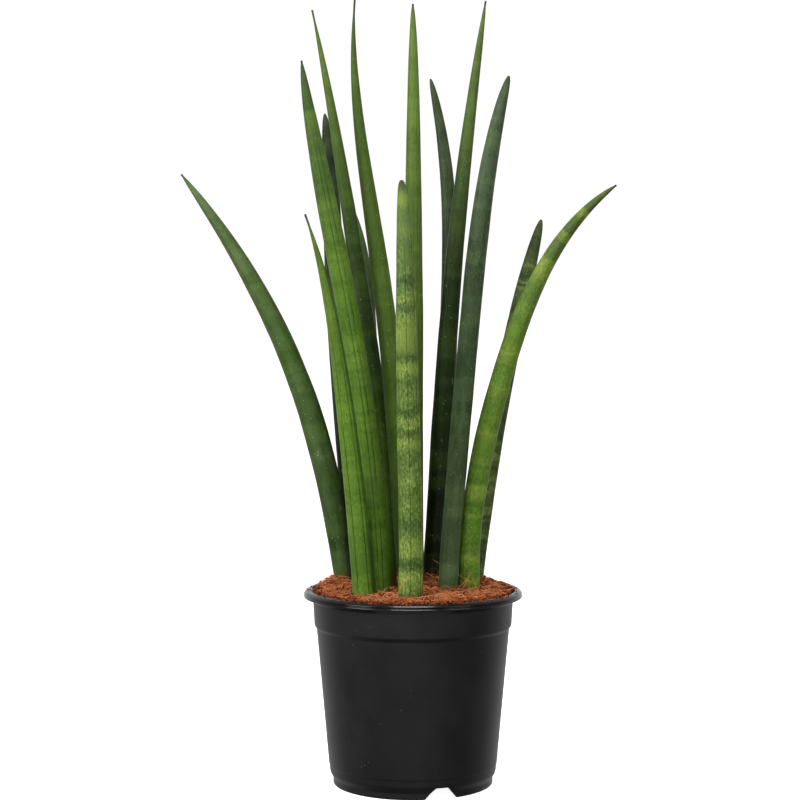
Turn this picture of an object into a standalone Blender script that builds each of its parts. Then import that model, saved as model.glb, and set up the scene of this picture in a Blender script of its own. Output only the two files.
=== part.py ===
"""Potted spear snake plant (Sansevieria cylindrica) in a 17 cm nursery pot.

Units are metres and +Z is up. The origin is on the pot's axis, in the middle of the flat pad
under its floor, so the plant stands on the plane z = 0. -Y is the plant's front.

The object is three kinds of piece: the pot, one plug of coir substrate that fills it, and
fourteen separate rod-like leaves, each standing in its own socket in the substrate.
"""

from math import cos, exp, hypot, pi, radians, sin

import bmesh
import bpy
from mathutils import Matrix, Vector

MM = 0.001
FIT_GAP = 0.3 * MM          # clearance between two pieces that touch

# Pot: driving dimensions.
RIM_RADIUS = 85.0 * MM      # a 17 cm pot, measured over its rim
RIM_TOP = 152.0 * MM
RIM_LIP_DROP = 5.8 * MM     # how far the rolled lip hangs below the rim's top
RIM_THICKNESS = 1.4 * MM
COLLAR_RADIUS = 78.0 * MM   # outside, right under the rim
COLLAR_FOOT_RADIUS = 76.7 * MM
LEDGE_TOP = 124.4 * MM      # the collar steps in to the body between these two heights
LEDGE_BOTTOM = 121.9 * MM
BODY_TOP_RADIUS = 75.0 * MM
BODY_FOOT_RADIUS = 64.6 * MM
BODY_FOOT = 9.7 * MM
FOOT_RADIUS = 62.2 * MM
FOOT_CHAMFER = 5.3 * MM     # the body tapers in to the foot ring between this and BODY_FOOT
FOOT_INNER_RADIUS = 59.4 * MM
WALL = 1.0 * MM
WALL_FOOT_ROUND = 0.2 * MM  # how far the inside corner comes in from the wall's straight line
FLOOR_UNDERSIDE = 10.4 * MM
FLOOR_TOP = FLOOR_UNDERSIDE + WALL
PAD_RADIUS = 17.0 * MM      # the floor's middle dips to a round pad that rests on the ground
PAD_SLOPE = 1.8 * MM        # how far the pad's side leans out on its way up to the floor
POT_SEGMENTS = 64

# Pot: openings in the foot ring and in the floor.
NOTCH_DIRECTIONS = (-70.0, 50.0, 170.0)   # degrees from +X
NOTCH_HEIGHT = 9.2 * MM
NOTCH_TOP_WIDTH = 10.0 * MM
NOTCH_BOTTOM_WIDTH = 26.5 * MM
DRAIN_HOLE_COUNT = 8
DRAIN_HOLE_RADIUS = 4.5 * MM
DRAIN_CIRCLE_RADIUS = 44.0 * MM
DRAIN_HOLE_SIDES = 12

# Substrate: a plug with a low, uneven mound on top.
SOIL_EDGE = 150.4 * MM      # height of the mound's edge at the rim
SOIL_RISE = 2.2 * MM        # how far the middle stands above the edge
SOIL_SHOULDER = 10          # a higher power gives a flatter top and a steeper edge
SOIL_CLUMPS = (             # x, y, spread and height of each heap, in mm
    (-67, 24, 10, 6.5),
    (62, 20, 16, 3.0),
    (14, 44, 18, 9.0),
)
SOIL_RINGS = (0.16, 0.34, 0.52, 0.68, 0.82, 0.92, 1.0)

# Leaves.
LEAF_SIDES = 12
LEAF_RINGS = 17
LEAF_BURIED = 40.0 * MM     # length below the substrate's surface
LEAF_HEEL = 0.8             # diameter of the buried end, as a share of that at the surface
LEAF_TIP_DIAMETER = 1.6 * MM
LEAF_TAPER_POWER = 1.8      # how late along the leaf its taper sets in

# name: five points that the axis passes, evenly spread from the substrate to the tip (mm),
# widest diameter (mm), diameter at the substrate as a share of the widest, where along the
# leaf it is widest, how fully the tip tapers (lower is blunter), and the finish.
LEAVES = {
    "leaf_far_left": (
        ((-55.5, 30, 157), (-69.5, 36, 243), (-95.5, 43, 325), (-134.5, 51, 403), (-185, 60, 476.5)),
        19.2, 0.72, 0.27, 0.62, "leaf_mid"),
    "leaf_tall_left": (
        ((-26, -28, 153), (-33, -31, 255), (-47.5, -36, 357), (-66.5, -43, 456), (-83.5, -50, 554.5)),
        16.3, 1.00, 0.60, 0.62, "leaf_mid"),
    "leaf_slim_left": (
        ((-20.5, 2, 160), (-25.5, 3, 271), (-40, 5, 381), (-57.5, 8, 491), (-78, 10, 600)),
        15.8, 0.98, 0.15, 0.74, "leaf_light"),
    "leaf_slim_inner_left": (
        ((-3.5, -12, 161), (-12, -16, 274), (-23.5, -21, 385), (-39, -28, 493), (-44, -35, 602.5)),
        16.6, 0.98, 0.23, 0.84, "leaf_light"),
    "leaf_back_left": (
        ((-47.5, 44, 161), (-53, 48, 253), (-59.5, 54, 343), (-64, 61, 434), (-70.5, 68, 525.5)),
        16.1, 0.94, 0.60, 0.45, "leaf_dark"),
    "leaf_front_left": (
        ((-37.5, -42, 153), (-43.5, -50, 227), (-51.5, -60, 300), (-62, -72, 371), (-79.5, -85, 439)),
        16.7, 1.05, 0.05, 0.85, "leaf_light"),
    "leaf_back_inner": (
        ((-16, 45, 162), (-26.5, 53, 234), (-33, 65, 305), (-36, 79, 377), (-48.5, 95, 451)),
        13.2, 1.00, 0.45, 0.58, "leaf_dark"),
    "leaf_tall_centre": (
        ((1, 20, 160), (0.5, 23, 271), (0.5, 28, 383), (0.5, 34, 496), (0, 40, 609)),
        15.6, 0.98, 0.32, 0.50, "leaf_light"),
    "leaf_front_centre": (
        ((-2.5, -52, 153), (-2.5, -56, 232), (-4.5, -61, 310), (-6, -68, 387), (-9, -75, 464.5)),
        18.4, 1.04, 0.10, 0.33, "leaf_banded"),
    "leaf_back_centre_right": (
        ((24.5, 55, 161), (24.5, 64, 258), (29.5, 77, 357), (29.5, 93, 457), (15, 110, 557.5)),
        16.2, 0.92, 0.15, 0.40, "leaf_dark"),
    "leaf_tall_right": (
        ((16.5, 35, 160), (23, 37, 274), (31, 39, 387), (42.5, 42, 499), (57.5, 45, 612)),
        16.9, 1.02, 0.10, 0.60, "leaf_dark"),
    "leaf_upright_right": (
        ((27, -19, 155), (34, -22, 254), (42.5, -26, 353), (52.5, -33, 449), (71.5, -42, 544)),
        15.3, 1.00, 0.62, 0.42, "leaf_mid"),
    "leaf_bowed_right": (
        ((43.5, -10.5, 156), (50, -12, 240), (69.5, -17, 323), (100, -24, 401), (153.5, -32, 463)),
        16.8, 0.97, 0.33, 0.56, "leaf_banded"),
    "leaf_back_right": (
        ((49, 35, 157), (59, 42, 228), (71, 51, 299), (86, 63, 370), (104, 75, 441)),
        14.7, 1.00, 0.65, 0.43, "leaf_dark"),
}

# Base colour (linear), roughness and metallic value of each material.
FINISHES = {
    "black_plastic": ((0.016, 0.016, 0.016), 0.42, 0.0),
    "coir": ((0.27, 0.075, 0.024), 0.95, 0.0),
    "leaf_light": ((0.115, 0.235, 0.040), 0.40, 0.0),
    "leaf_mid": ((0.070, 0.155, 0.036), 0.40, 0.0),
    "leaf_dark": ((0.032, 0.068, 0.022), 0.42, 0.0),
    "leaf_banded": ((0.140, 0.240, 0.052), 0.40, 0.0),
}


# ---------------------------------------------------------------------------------- scene

def clear_scene():
    for old in list(bpy.data.objects):
        bpy.data.objects.remove(old, do_unlink=True)


def make_material(name):
    colour, roughness, metallic = FINISHES[name]
    material = bpy.data.materials.new(name)
    material.use_nodes = True
    shader = material.node_tree.nodes["Principled BSDF"]
    shader.inputs["Base Color"].default_value = (*colour, 1.0)
    shader.inputs["Roughness"].default_value = roughness
    shader.inputs["Metallic"].default_value = metallic
    return material


def add_object(name, mesh, parent=None, material=None):
    piece = bpy.data.objects.new(name, mesh)
    bpy.context.scene.collection.objects.link(piece)
    piece.parent = parent
    if material:
        mesh.materials.append(material)
        mesh.shade_smooth()
        mesh.set_sharp_from_angle(angle=radians(40))
    return piece


def add_cutter(name, mesh):
    cutter = add_object(name, mesh)
    cutter.hide_render = True
    cutter.display_type = 'WIRE'
    return cutter


def cut(target, cutter):
    step = target.modifiers.new("cut_" + cutter.name, 'BOOLEAN')
    step.operation = 'DIFFERENCE'
    step.solver = 'EXACT'
    step.object = cutter


# ------------------------------------------------------------------------- shared geometry

def loft(name, rings):
    """A closed mesh through rings of equally many points, with a flat cap at both ends."""
    shape = bmesh.new()
    rows = [[shape.verts.new(point) for point in ring] for ring in rings]
    sides = len(rings[0])
    for lower, upper in zip(rows, rows[1:]):
        for i in range(sides):
            j = (i + 1) % sides
            shape.faces.new((lower[i], lower[j], upper[j], upper[i]))
    shape.faces.new(reversed(rows[0]))
    shape.faces.new(rows[-1])
    mesh = bpy.data.meshes.new(name)
    shape.to_mesh(mesh)
    shape.free()
    return mesh


def circle(radius, height, segments):
    return [Vector((radius * cos(2 * pi * i / segments), radius * sin(2 * pi * i / segments), height))
            for i in range(segments)]


def turned(name, profile, segments):
    """A solid of revolution. The profile runs from the axis, around the solid, to the axis."""
    rings = [circle(radius, height, segments) for radius, height in profile[1:-1]]
    shape = bmesh.new()
    rows = [[shape.verts.new(point) for point in ring] for ring in rings]
    for lower, upper in zip(rows, rows[1:]):
        for i in range(segments):
            j = (i + 1) % segments
            shape.faces.new((lower[i], lower[j], upper[j], upper[i]))
    for (_, height), row, flip in ((profile[0], rows[0], True), (profile[-1], rows[-1], False)):
        hub = shape.verts.new((0.0, 0.0, height))
        for i in range(segments):
            j = (i + 1) % segments
            corners = (hub, row[j], row[i]) if flip else (hub, row[i], row[j])
            shape.faces.new(corners)
    mesh = bpy.data.meshes.new(name)
    shape.to_mesh(mesh)
    shape.free()
    return mesh


# ------------------------------------------------------------------------------------ pot

def pot_profile():
    """The pot's section: under the floor, up the outside, over the rim and down the inside."""
    lip = RIM_TOP - RIM_LIP_DROP
    return [
        (0.0, 0.0),
        (PAD_RADIUS, 0.0),
        (PAD_RADIUS + PAD_SLOPE, FLOOR_UNDERSIDE),
        (FOOT_INNER_RADIUS - 0.6 * MM, FLOOR_UNDERSIDE),
        (FOOT_INNER_RADIUS, FLOOR_UNDERSIDE - 0.6 * MM),
        (FOOT_INNER_RADIUS, 0.0),
        (FOOT_RADIUS - 0.6 * MM, 0.0),
        (FOOT_RADIUS, 0.9 * MM),
        (FOOT_RADIUS, FOOT_CHAMFER),
        (BODY_FOOT_RADIUS, BODY_FOOT),
        (BODY_TOP_RADIUS, LEDGE_BOTTOM),
        (COLLAR_FOOT_RADIUS, LEDGE_TOP),
        (COLLAR_RADIUS, lip + 1.6 * MM),
        (COLLAR_RADIUS + 1.2 * MM, RIM_TOP - RIM_THICKNESS - 0.6 * MM),
        (RIM_RADIUS - 3.2 * MM, RIM_TOP - RIM_THICKNESS),
        (RIM_RADIUS - 1.6 * MM, RIM_TOP - RIM_THICKNESS - 0.8 * MM),
        (RIM_RADIUS - 1.4 * MM, lip + 0.4 * MM),
        (RIM_RADIUS - 0.8 * MM, lip),
        (RIM_RADIUS - 0.2 * MM, lip + 0.5 * MM),
        (RIM_RADIUS, lip + 1.2 * MM),
        (RIM_RADIUS, lip + 2.7 * MM),
        (RIM_RADIUS - 0.6 * MM, RIM_TOP - 1.9 * MM),
        (RIM_RADIUS - 1.7 * MM, RIM_TOP - 0.9 * MM),
        (RIM_RADIUS - 3.9 * MM, RIM_TOP),
        (COLLAR_RADIUS + 0.6 * MM, RIM_TOP - 0.3 * MM),
        (COLLAR_RADIUS - WALL + 0.4 * MM, RIM_TOP - 2.0 * MM),
        (COLLAR_RADIUS - WALL, lip + 1.0 * MM),
        (COLLAR_FOOT_RADIUS - WALL, LEDGE_TOP - 0.3 * MM),
        (BODY_TOP_RADIUS - WALL, LEDGE_BOTTOM - 0.6 * MM),
        (BODY_FOOT_RADIUS - WALL - WALL_FOOT_ROUND, FLOOR_TOP),
        (PAD_RADIUS + PAD_SLOPE - WALL, FLOOR_TOP),
        (PAD_RADIUS - WALL, WALL),
        (0.0, WALL),
    ]


def notch_cutter(direction):
    """A trapezoid block across the foot ring, wide at the ground and narrow at the top."""
    outline = [
        (-NOTCH_BOTTOM_WIDTH / 2, -1.0 * MM),
        (NOTCH_BOTTOM_WIDTH / 2, -1.0 * MM),
        (NOTCH_BOTTOM_WIDTH / 2, 0.0),
        (NOTCH_TOP_WIDTH / 2, NOTCH_HEIGHT),
        (-NOTCH_TOP_WIDTH / 2, NOTCH_HEIGHT),
        (-NOTCH_BOTTOM_WIDTH / 2, 0.0),
    ]
    turn = Matrix.Rotation(radians(direction), 3, 'Z')
    ends = (FOOT_INNER_RADIUS - 8.0 * MM, BODY_FOOT_RADIUS + 8.0 * MM)
    rings = [[turn @ Vector((reach, across, height)) for across, height in outline] for reach in ends]
    return add_cutter(f"notch_cutter_{direction:.0f}", loft("notch_cutter", rings))


def drain_cutter(index):
    angle = 2 * pi * (index + 0.5) / DRAIN_HOLE_COUNT
    centre = Vector((DRAIN_CIRCLE_RADIUS * cos(angle), DRAIN_CIRCLE_RADIUS * sin(angle), 0.0))
    heights = (FLOOR_UNDERSIDE - 3.0 * MM, FLOOR_TOP + 3.0 * MM)
    rings = [[centre + point for point in circle(DRAIN_HOLE_RADIUS, height, DRAIN_HOLE_SIDES)]
             for height in heights]
    return add_cutter(f"drain_cutter_{index}", loft("drain_cutter", rings))


def build_pot(parent):
    mesh = turned("nursery_pot", pot_profile(), POT_SEGMENTS)
    pot = add_object("nursery_pot", mesh, parent, make_material("black_plastic"))
    for direction in NOTCH_DIRECTIONS:
        cut(pot, notch_cutter(direction))
    for index in range(DRAIN_HOLE_COUNT):
        cut(pot, drain_cutter(index))
    return pot


# ----------------------------------------------------------------------------------- leaf

def leaf_point(points, t):
    """The smooth curve through equally spaced points, at t from 0 to 1."""
    last = len(points) - 1
    place = Vector((0.0, 0.0, 0.0))
    for i, point in enumerate(points):
        weight = 1.0
        for j in range(last + 1):
            if j != i:
                weight *= (t * last - j) / (i - j)
        place += weight * Vector(point) * MM
    return place


def leaf_diameter(t, widest, heel_share, widest_at, bluntness):
    """The leaf swells from the substrate to its widest point, then tapers to the tip."""
    below = max(1.0 - t / widest_at, 0.0)
    above = max((t - widest_at) / (1.0 - widest_at), 0.0)
    swell = 1.0 - (1.0 - heel_share) * below ** 2
    taper = max(1.0 - above ** LEAF_TAPER_POWER, 0.0) ** bluntness
    return max(widest * MM * swell * taper, LEAF_TIP_DIAMETER)


def leaf_stations(design):
    """Centre and diameter of each ring, from the buried end to the tip."""
    points, widest, heel_share, widest_at, bluntness, _ = design
    root = leaf_point(points, 0.0)
    down = (root - leaf_point(points, 0.02)).normalized()
    surface_diameter = leaf_diameter(0.0, widest, heel_share, widest_at, bluntness)
    stations = [(root + down * LEAF_BURIED, surface_diameter * LEAF_HEEL),
                (root + down * LEAF_BURIED / 3, surface_diameter)]
    for ring in range(LEAF_RINGS):
        t = ring / (LEAF_RINGS - 1)
        t = 1.0 - (1.0 - t) ** 1.25          # rings lie closer together towards the tip
        stations.append((leaf_point(points, t),
                         leaf_diameter(t, widest, heel_share, widest_at, bluntness)))
    return stations


def tube_rings(stations, sides, clearance=0.0):
    """Rings square to the leaf's axis, carried along it without twisting."""
    centres = [centre for centre, _ in stations]
    side = Vector((1.0, 0.0, 0.0))
    rings = []
    for i, (centre, diameter) in enumerate(stations):
        ahead = centres[min(i + 1, len(centres) - 1)] - centres[max(i - 1, 0)]
        ahead.normalize()
        side = (side - ahead * side.dot(ahead)).normalized()
        across = ahead.cross(side)
        radius = diameter / 2 + clearance
        rings.append([centre + radius * (cos(2 * pi * k / sides) * side + sin(2 * pi * k / sides) * across)
                      for k in range(sides)])
    return rings


def build_leaf(name, design, parent, material):
    rings = tube_rings(leaf_stations(design), LEAF_SIDES)
    return add_object(name, loft(name, rings), parent, material)


def socket_cutter(name, design):
    """The leaf's buried stretch, grown by the fit gap and carried on above the surface."""
    stations = leaf_stations(design)[:5]
    (heel, heel_diameter), (above, _) = stations[:2]
    heel_end = heel + (heel - above).normalized() * FIT_GAP
    stations = [(heel_end, heel_diameter)] + stations[1:]
    rings = tube_rings(stations, LEAF_SIDES, clearance=FIT_GAP / cos(pi / LEAF_SIDES))
    return add_cutter(name + "_socket", loft(name + "_socket", rings))


# ------------------------------------------------------------------------------ substrate

def soil_height(x, y, edge_radius):
    share = min(hypot(x, y) / edge_radius, 1.0)
    rise = SOIL_RISE
    for clump_x, clump_y, spread, height in SOIL_CLUMPS:
        distance = hypot(x / MM - clump_x, y / MM - clump_y)
        rise += height * MM * exp(-0.5 * (distance / spread) ** 2)
    return SOIL_EDGE + rise * (1.0 - share ** SOIL_SHOULDER)


def substrate_mesh():
    lip = RIM_TOP - RIM_LIP_DROP
    edge_radius = COLLAR_RADIUS - WALL - FIT_GAP
    side = [
        (PAD_RADIUS - WALL - FIT_GAP, WALL + FIT_GAP),
        (PAD_RADIUS + PAD_SLOPE - WALL - FIT_GAP, FLOOR_TOP + FIT_GAP),
        (BODY_FOOT_RADIUS - WALL - WALL_FOOT_ROUND - FIT_GAP, FLOOR_TOP + FIT_GAP),
        (BODY_TOP_RADIUS - WALL - FIT_GAP, LEDGE_BOTTOM - 0.6 * MM),
        (COLLAR_FOOT_RADIUS - WALL - FIT_GAP, LEDGE_TOP - 0.3 * MM),
        (edge_radius, lip + 1.0 * MM),
    ]
    rings = [circle(radius, height, POT_SEGMENTS) for radius, height in side]
    for share in reversed(SOIL_RINGS):
        flat = circle(edge_radius * share, 0.0, POT_SEGMENTS)
        rings.append([Vector((p.x, p.y, soil_height(p.x, p.y, edge_radius))) for p in flat])
    return loft("coir_substrate", rings)


def build_substrate(parent):
    substrate = add_object("coir_substrate", substrate_mesh(), parent, make_material("coir"))
    for name, design in LEAVES.items():
        cut(substrate, socket_cutter(name, design))
    return substrate


# ------------------------------------------------------------------------------- assembly

def main():
    clear_scene()
    plant = bpy.data.objects.new("potted_snake_plant", None)
    bpy.context.scene.collection.objects.link(plant)
    build_pot(plant)
    build_substrate(plant)
    leaf_materials = {}
    for name, design in LEAVES.items():
        finish = design[-1]
        if finish not in leaf_materials:
            leaf_materials[finish] = make_material(finish)
        build_leaf(name, design, plant, leaf_materials[finish])


main()
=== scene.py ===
from math import cos, pi, radians, sin, sqrt

import bmesh
import bpy
import numpy as np
from mathutils import Matrix, Vector, noise


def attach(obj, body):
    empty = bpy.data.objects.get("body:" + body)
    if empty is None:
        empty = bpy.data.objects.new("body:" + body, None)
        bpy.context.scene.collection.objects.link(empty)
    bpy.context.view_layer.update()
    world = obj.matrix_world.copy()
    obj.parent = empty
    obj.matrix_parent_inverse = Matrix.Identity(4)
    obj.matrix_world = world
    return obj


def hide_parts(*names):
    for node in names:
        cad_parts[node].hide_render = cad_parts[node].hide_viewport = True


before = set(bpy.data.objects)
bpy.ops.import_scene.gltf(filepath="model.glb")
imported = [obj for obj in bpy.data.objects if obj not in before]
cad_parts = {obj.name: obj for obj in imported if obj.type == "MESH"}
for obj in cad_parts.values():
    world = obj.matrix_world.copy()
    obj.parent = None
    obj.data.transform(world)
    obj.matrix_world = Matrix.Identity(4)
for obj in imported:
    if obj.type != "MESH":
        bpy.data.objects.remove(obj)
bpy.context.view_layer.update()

BODY = "root"
MM = 0.001

# ------------------------------------------------------------------------- design values

# Camera: a long lens a little above the pot, looking almost level.
CAMERA_PLACE = (-10.1 * MM, -1600.0 * MM, 378.5 * MM)
CAMERA_LENS = 93.0
SENSOR_WIDTH = 36.0
CAMERA_DIP = 2.85           # degrees below level

# Pot, the same as the CAD node.
RIM_RADIUS = 85.0 * MM
RIM_TOP = 152.0 * MM
RIM_LIP_DROP = 5.8 * MM
COLLAR_RADIUS = 78.0 * MM
COLLAR_FOOT_RADIUS = 76.7 * MM
LEDGE_TOP = 124.4 * MM
LEDGE_BOTTOM = 121.9 * MM
BODY_TOP_RADIUS = 75.0 * MM
BODY_FOOT_RADIUS = 64.6 * MM
BODY_FOOT = 9.7 * MM
FOOT_RADIUS = 62.2 * MM
FOOT_CHAMFER = 5.3 * MM
FOOT_INNER_RADIUS = 59.4 * MM
WALL = 1.0 * MM
FLOOR_UNDERSIDE = 10.4 * MM
FLOOR_TOP = FLOOR_UNDERSIDE + WALL
PAD_RADIUS = 17.0 * MM
PAD_SLOPE = 1.8 * MM
POT_SEGMENTS = 192
RIM_GLOSS = 0.30            # the rim's roughness as a share of the body's
NOTCH_DIRECTIONS = (-70.0, 50.0, 170.0)
NOTCH_HEIGHT = 9.2 * MM
NOTCH_TOP_WIDTH = 10.0 * MM
NOTCH_BOTTOM_WIDTH = 26.5 * MM
NOTCH_BEVEL = 0.5 * MM
NOTCH_REACH = 8.0 * MM      # how far its cutter passes the foot ring's two faces
DRAIN_HOLE_COUNT = 8
DRAIN_HOLE_RADIUS = 4.5 * MM
DRAIN_CIRCLE_RADIUS = 44.0 * MM
DRAIN_HOLE_SIDES = 32

# Substrate, the same mound as the CAD node. A clump is its x, y, spread and height in mm.
SOIL_EDGE = 150.4 * MM
SOIL_RISE = 2.2 * MM
SOIL_SHOULDER = 10
SOIL_CLUMPS = (
    (-67, 24, 10, 6.5),
    (62, 20, 16, 3.0),
    (14, 44, 18, 9.0),
)
SOIL_GAP = 0.3 * MM         # between the fill and the pot
SOIL_RADIUS = COLLAR_RADIUS - WALL - SOIL_GAP
BED_SEGMENTS = 256
BED_RINGS = 72
CRUMBS = 5600
CHIPS = 1000
CRUMB_SHAPE = ((0.8, 1.9), (0.5, 0.9), (0.35, 0.8))     # range of length, width and height
SPILT_CRUMBS = 900
SPILL_SPREAD = 0.62         # radians each way from the front
SPILL_START = SOIL_RADIUS - 2.0 * MM
FIBRES = 3400
FIBRE_STEPS = 7
COIR_COLOURS = ((150, 72, 38), (38, 11, 4), (172, 102, 62))         # pale, dark and dry
STRAND_COLOURS = ((214, 136, 86), (112, 50, 24), (222, 164, 116))

# Leaves: the same five axis points (mm), widest diameter (mm), heel share, widest place and
# bluntness of the tip as the CAD nodes.
LEAVES = {
    "leaf_far_left": (
        ((-55.5, 30, 157), (-69.5, 36, 243), (-95.5, 43, 325), (-134.5, 51, 403), (-185, 60, 476.5)),
        19.2, 0.72, 0.27, 0.62),
    "leaf_tall_left": (
        ((-26, -28, 153), (-33, -31, 255), (-47.5, -36, 357), (-66.5, -43, 456), (-83.5, -50, 554.5)),
        16.3, 1.00, 0.60, 0.62),
    "leaf_slim_left": (
        ((-20.5, 2, 160), (-25.5, 3, 271), (-40, 5, 381), (-57.5, 8, 491), (-78, 10, 600)),
        15.8, 0.98, 0.15, 0.74),
    "leaf_slim_inner_left": (
        ((-3.5, -12, 161), (-12, -16, 274), (-23.5, -21, 385), (-39, -28, 493), (-44, -35, 602.5)),
        16.6, 0.98, 0.23, 0.84),
    "leaf_back_left": (
        ((-47.5, 44, 161), (-53, 48, 253), (-59.5, 54, 343), (-64, 61, 434), (-70.5, 68, 525.5)),
        16.1, 0.94, 0.60, 0.45),
    "leaf_front_left": (
        ((-37.5, -42, 153), (-43.5, -50, 227), (-51.5, -60, 300), (-62, -72, 371), (-79.5, -85, 439)),
        16.7, 1.05, 0.05, 0.85),
    "leaf_back_inner": (
        ((-16, 45, 162), (-26.5, 53, 234), (-33, 65, 305), (-36, 79, 377), (-48.5, 95, 451)),
        13.2, 1.00, 0.45, 0.58),
    "leaf_tall_centre": (
        ((1, 20, 160), (0.5, 23, 271), (0.5, 28, 383), (0.5, 34, 496), (0, 40, 609)),
        15.6, 0.98, 0.32, 0.50),
    "leaf_front_centre": (
        ((-2.5, -52, 153), (-2.5, -56, 232), (-4.5, -61, 310), (-6, -68, 387), (-9, -75, 464.5)),
        18.4, 1.04, 0.10, 0.33),
    "leaf_back_centre_right": (
        ((24.5, 55, 161), (24.5, 64, 258), (29.5, 77, 357), (29.5, 93, 457), (15, 110, 557.5)),
        16.2, 0.92, 0.15, 0.40),
    "leaf_tall_right": (
        ((16.5, 35, 160), (23, 37, 274), (31, 39, 387), (42.5, 42, 499), (57.5, 45, 612)),
        16.9, 1.02, 0.10, 0.60),
    "leaf_upright_right": (
        ((27, -19, 155), (34, -22, 254), (42.5, -26, 353), (52.5, -33, 449), (71.5, -42, 544)),
        15.3, 1.00, 0.62, 0.42),
    "leaf_bowed_right": (
        ((43.5, -10.5, 156), (50, -12, 240), (69.5, -17, 323), (100, -24, 401), (153.5, -32, 463)),
        16.8, 0.97, 0.33, 0.56),
    "leaf_back_right": (
        ((49, 35, 157), (59, 42, 228), (71, 51, 299), (86, 63, 370), (104, 75, 441)),
        14.7, 1.00, 0.65, 0.43),
}
LEAF_BURIED = 40.0 * MM
LEAF_HEEL = 0.8
LEAF_TIP_DIAMETER = 1.6 * MM
LEAF_TAPER_POWER = 1.8
LEAF_SIDES = 96
LEAF_RINGS = 150
LEAF_RING_CROWDING = 1.25   # rings lie closer together towards the tip
LEAF_FOOT_STEP = 0.02       # share of a leaf over which the direction of its foot is read
# Swells and flats of a leaf: share of its radius, how fast the noise behind them changes round
# the leaf and to the metre along it, and how far apart in the noise two leaves are.
LEAF_UNEVENNESS = ((0.035, 0.8, 22.0, 7.1), (0.015, 1.6, 60.0, 3.3))
GROOVE_WIDTH = 0.55 * MM
GROOVE_FADE = 6.0           # grooves fade over the last sixth of the leaf
UNROLLED_RADIUS = 9.0 * MM  # leaf patterns are laid out on a straight leaf of this radius

# How each leaf looks: colours (sRGB) at its foot, middle and top; strength and colour of its
# pale zones and of its dark cross lines, and how many there are to the metre; strength of the
# fine mottling; darkness of the dark lines in its grooves (the leaf's own darker green there,
# deepened with painted shade) and depth (mm) of the grooves; and waxy bloom. The very dark foot
# and middle colours of leaf_back_inner, leaf_tall_right and leaf_back_centre_right, and the dark
# middle of leaf_slim_left, are painted shade where other leaves shade them. Some leaves have a
# painted highlight line along one edge (its direction) or painted shade down one side (its
# direction and strength). Directions are in degrees round the leaf, from +X towards -Y. The
# boldly banded leaf has its own row of crossings: height above the substrate (mm) and tone,
# 0 darkest and 1 palest.
FRONT_CROSSINGS = (
    (0, 0.45), (8, 0.60), (17, 0.85), (26, 0.05), (34, 0.85), (44, 0.70), (55, 0.15), (69, 0.60),
    (82, 0.30), (88, 0.65), (97, 0.45), (109, 0.20), (117, 0.90), (125, 0.05), (132, 1.00),
    (141, 0.10), (151, 0.55), (164, 0.20), (174, 1.00), (182, 0.05), (187, 0.70), (200, 0.75),
    (213, 0.70), (218, 0.10), (225, 0.75), (239, 0.10), (249, 0.55), (266, 0.25), (275, 0.65),
    (288, 0.30), (300, 0.95), (311, 0.10),
)
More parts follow.
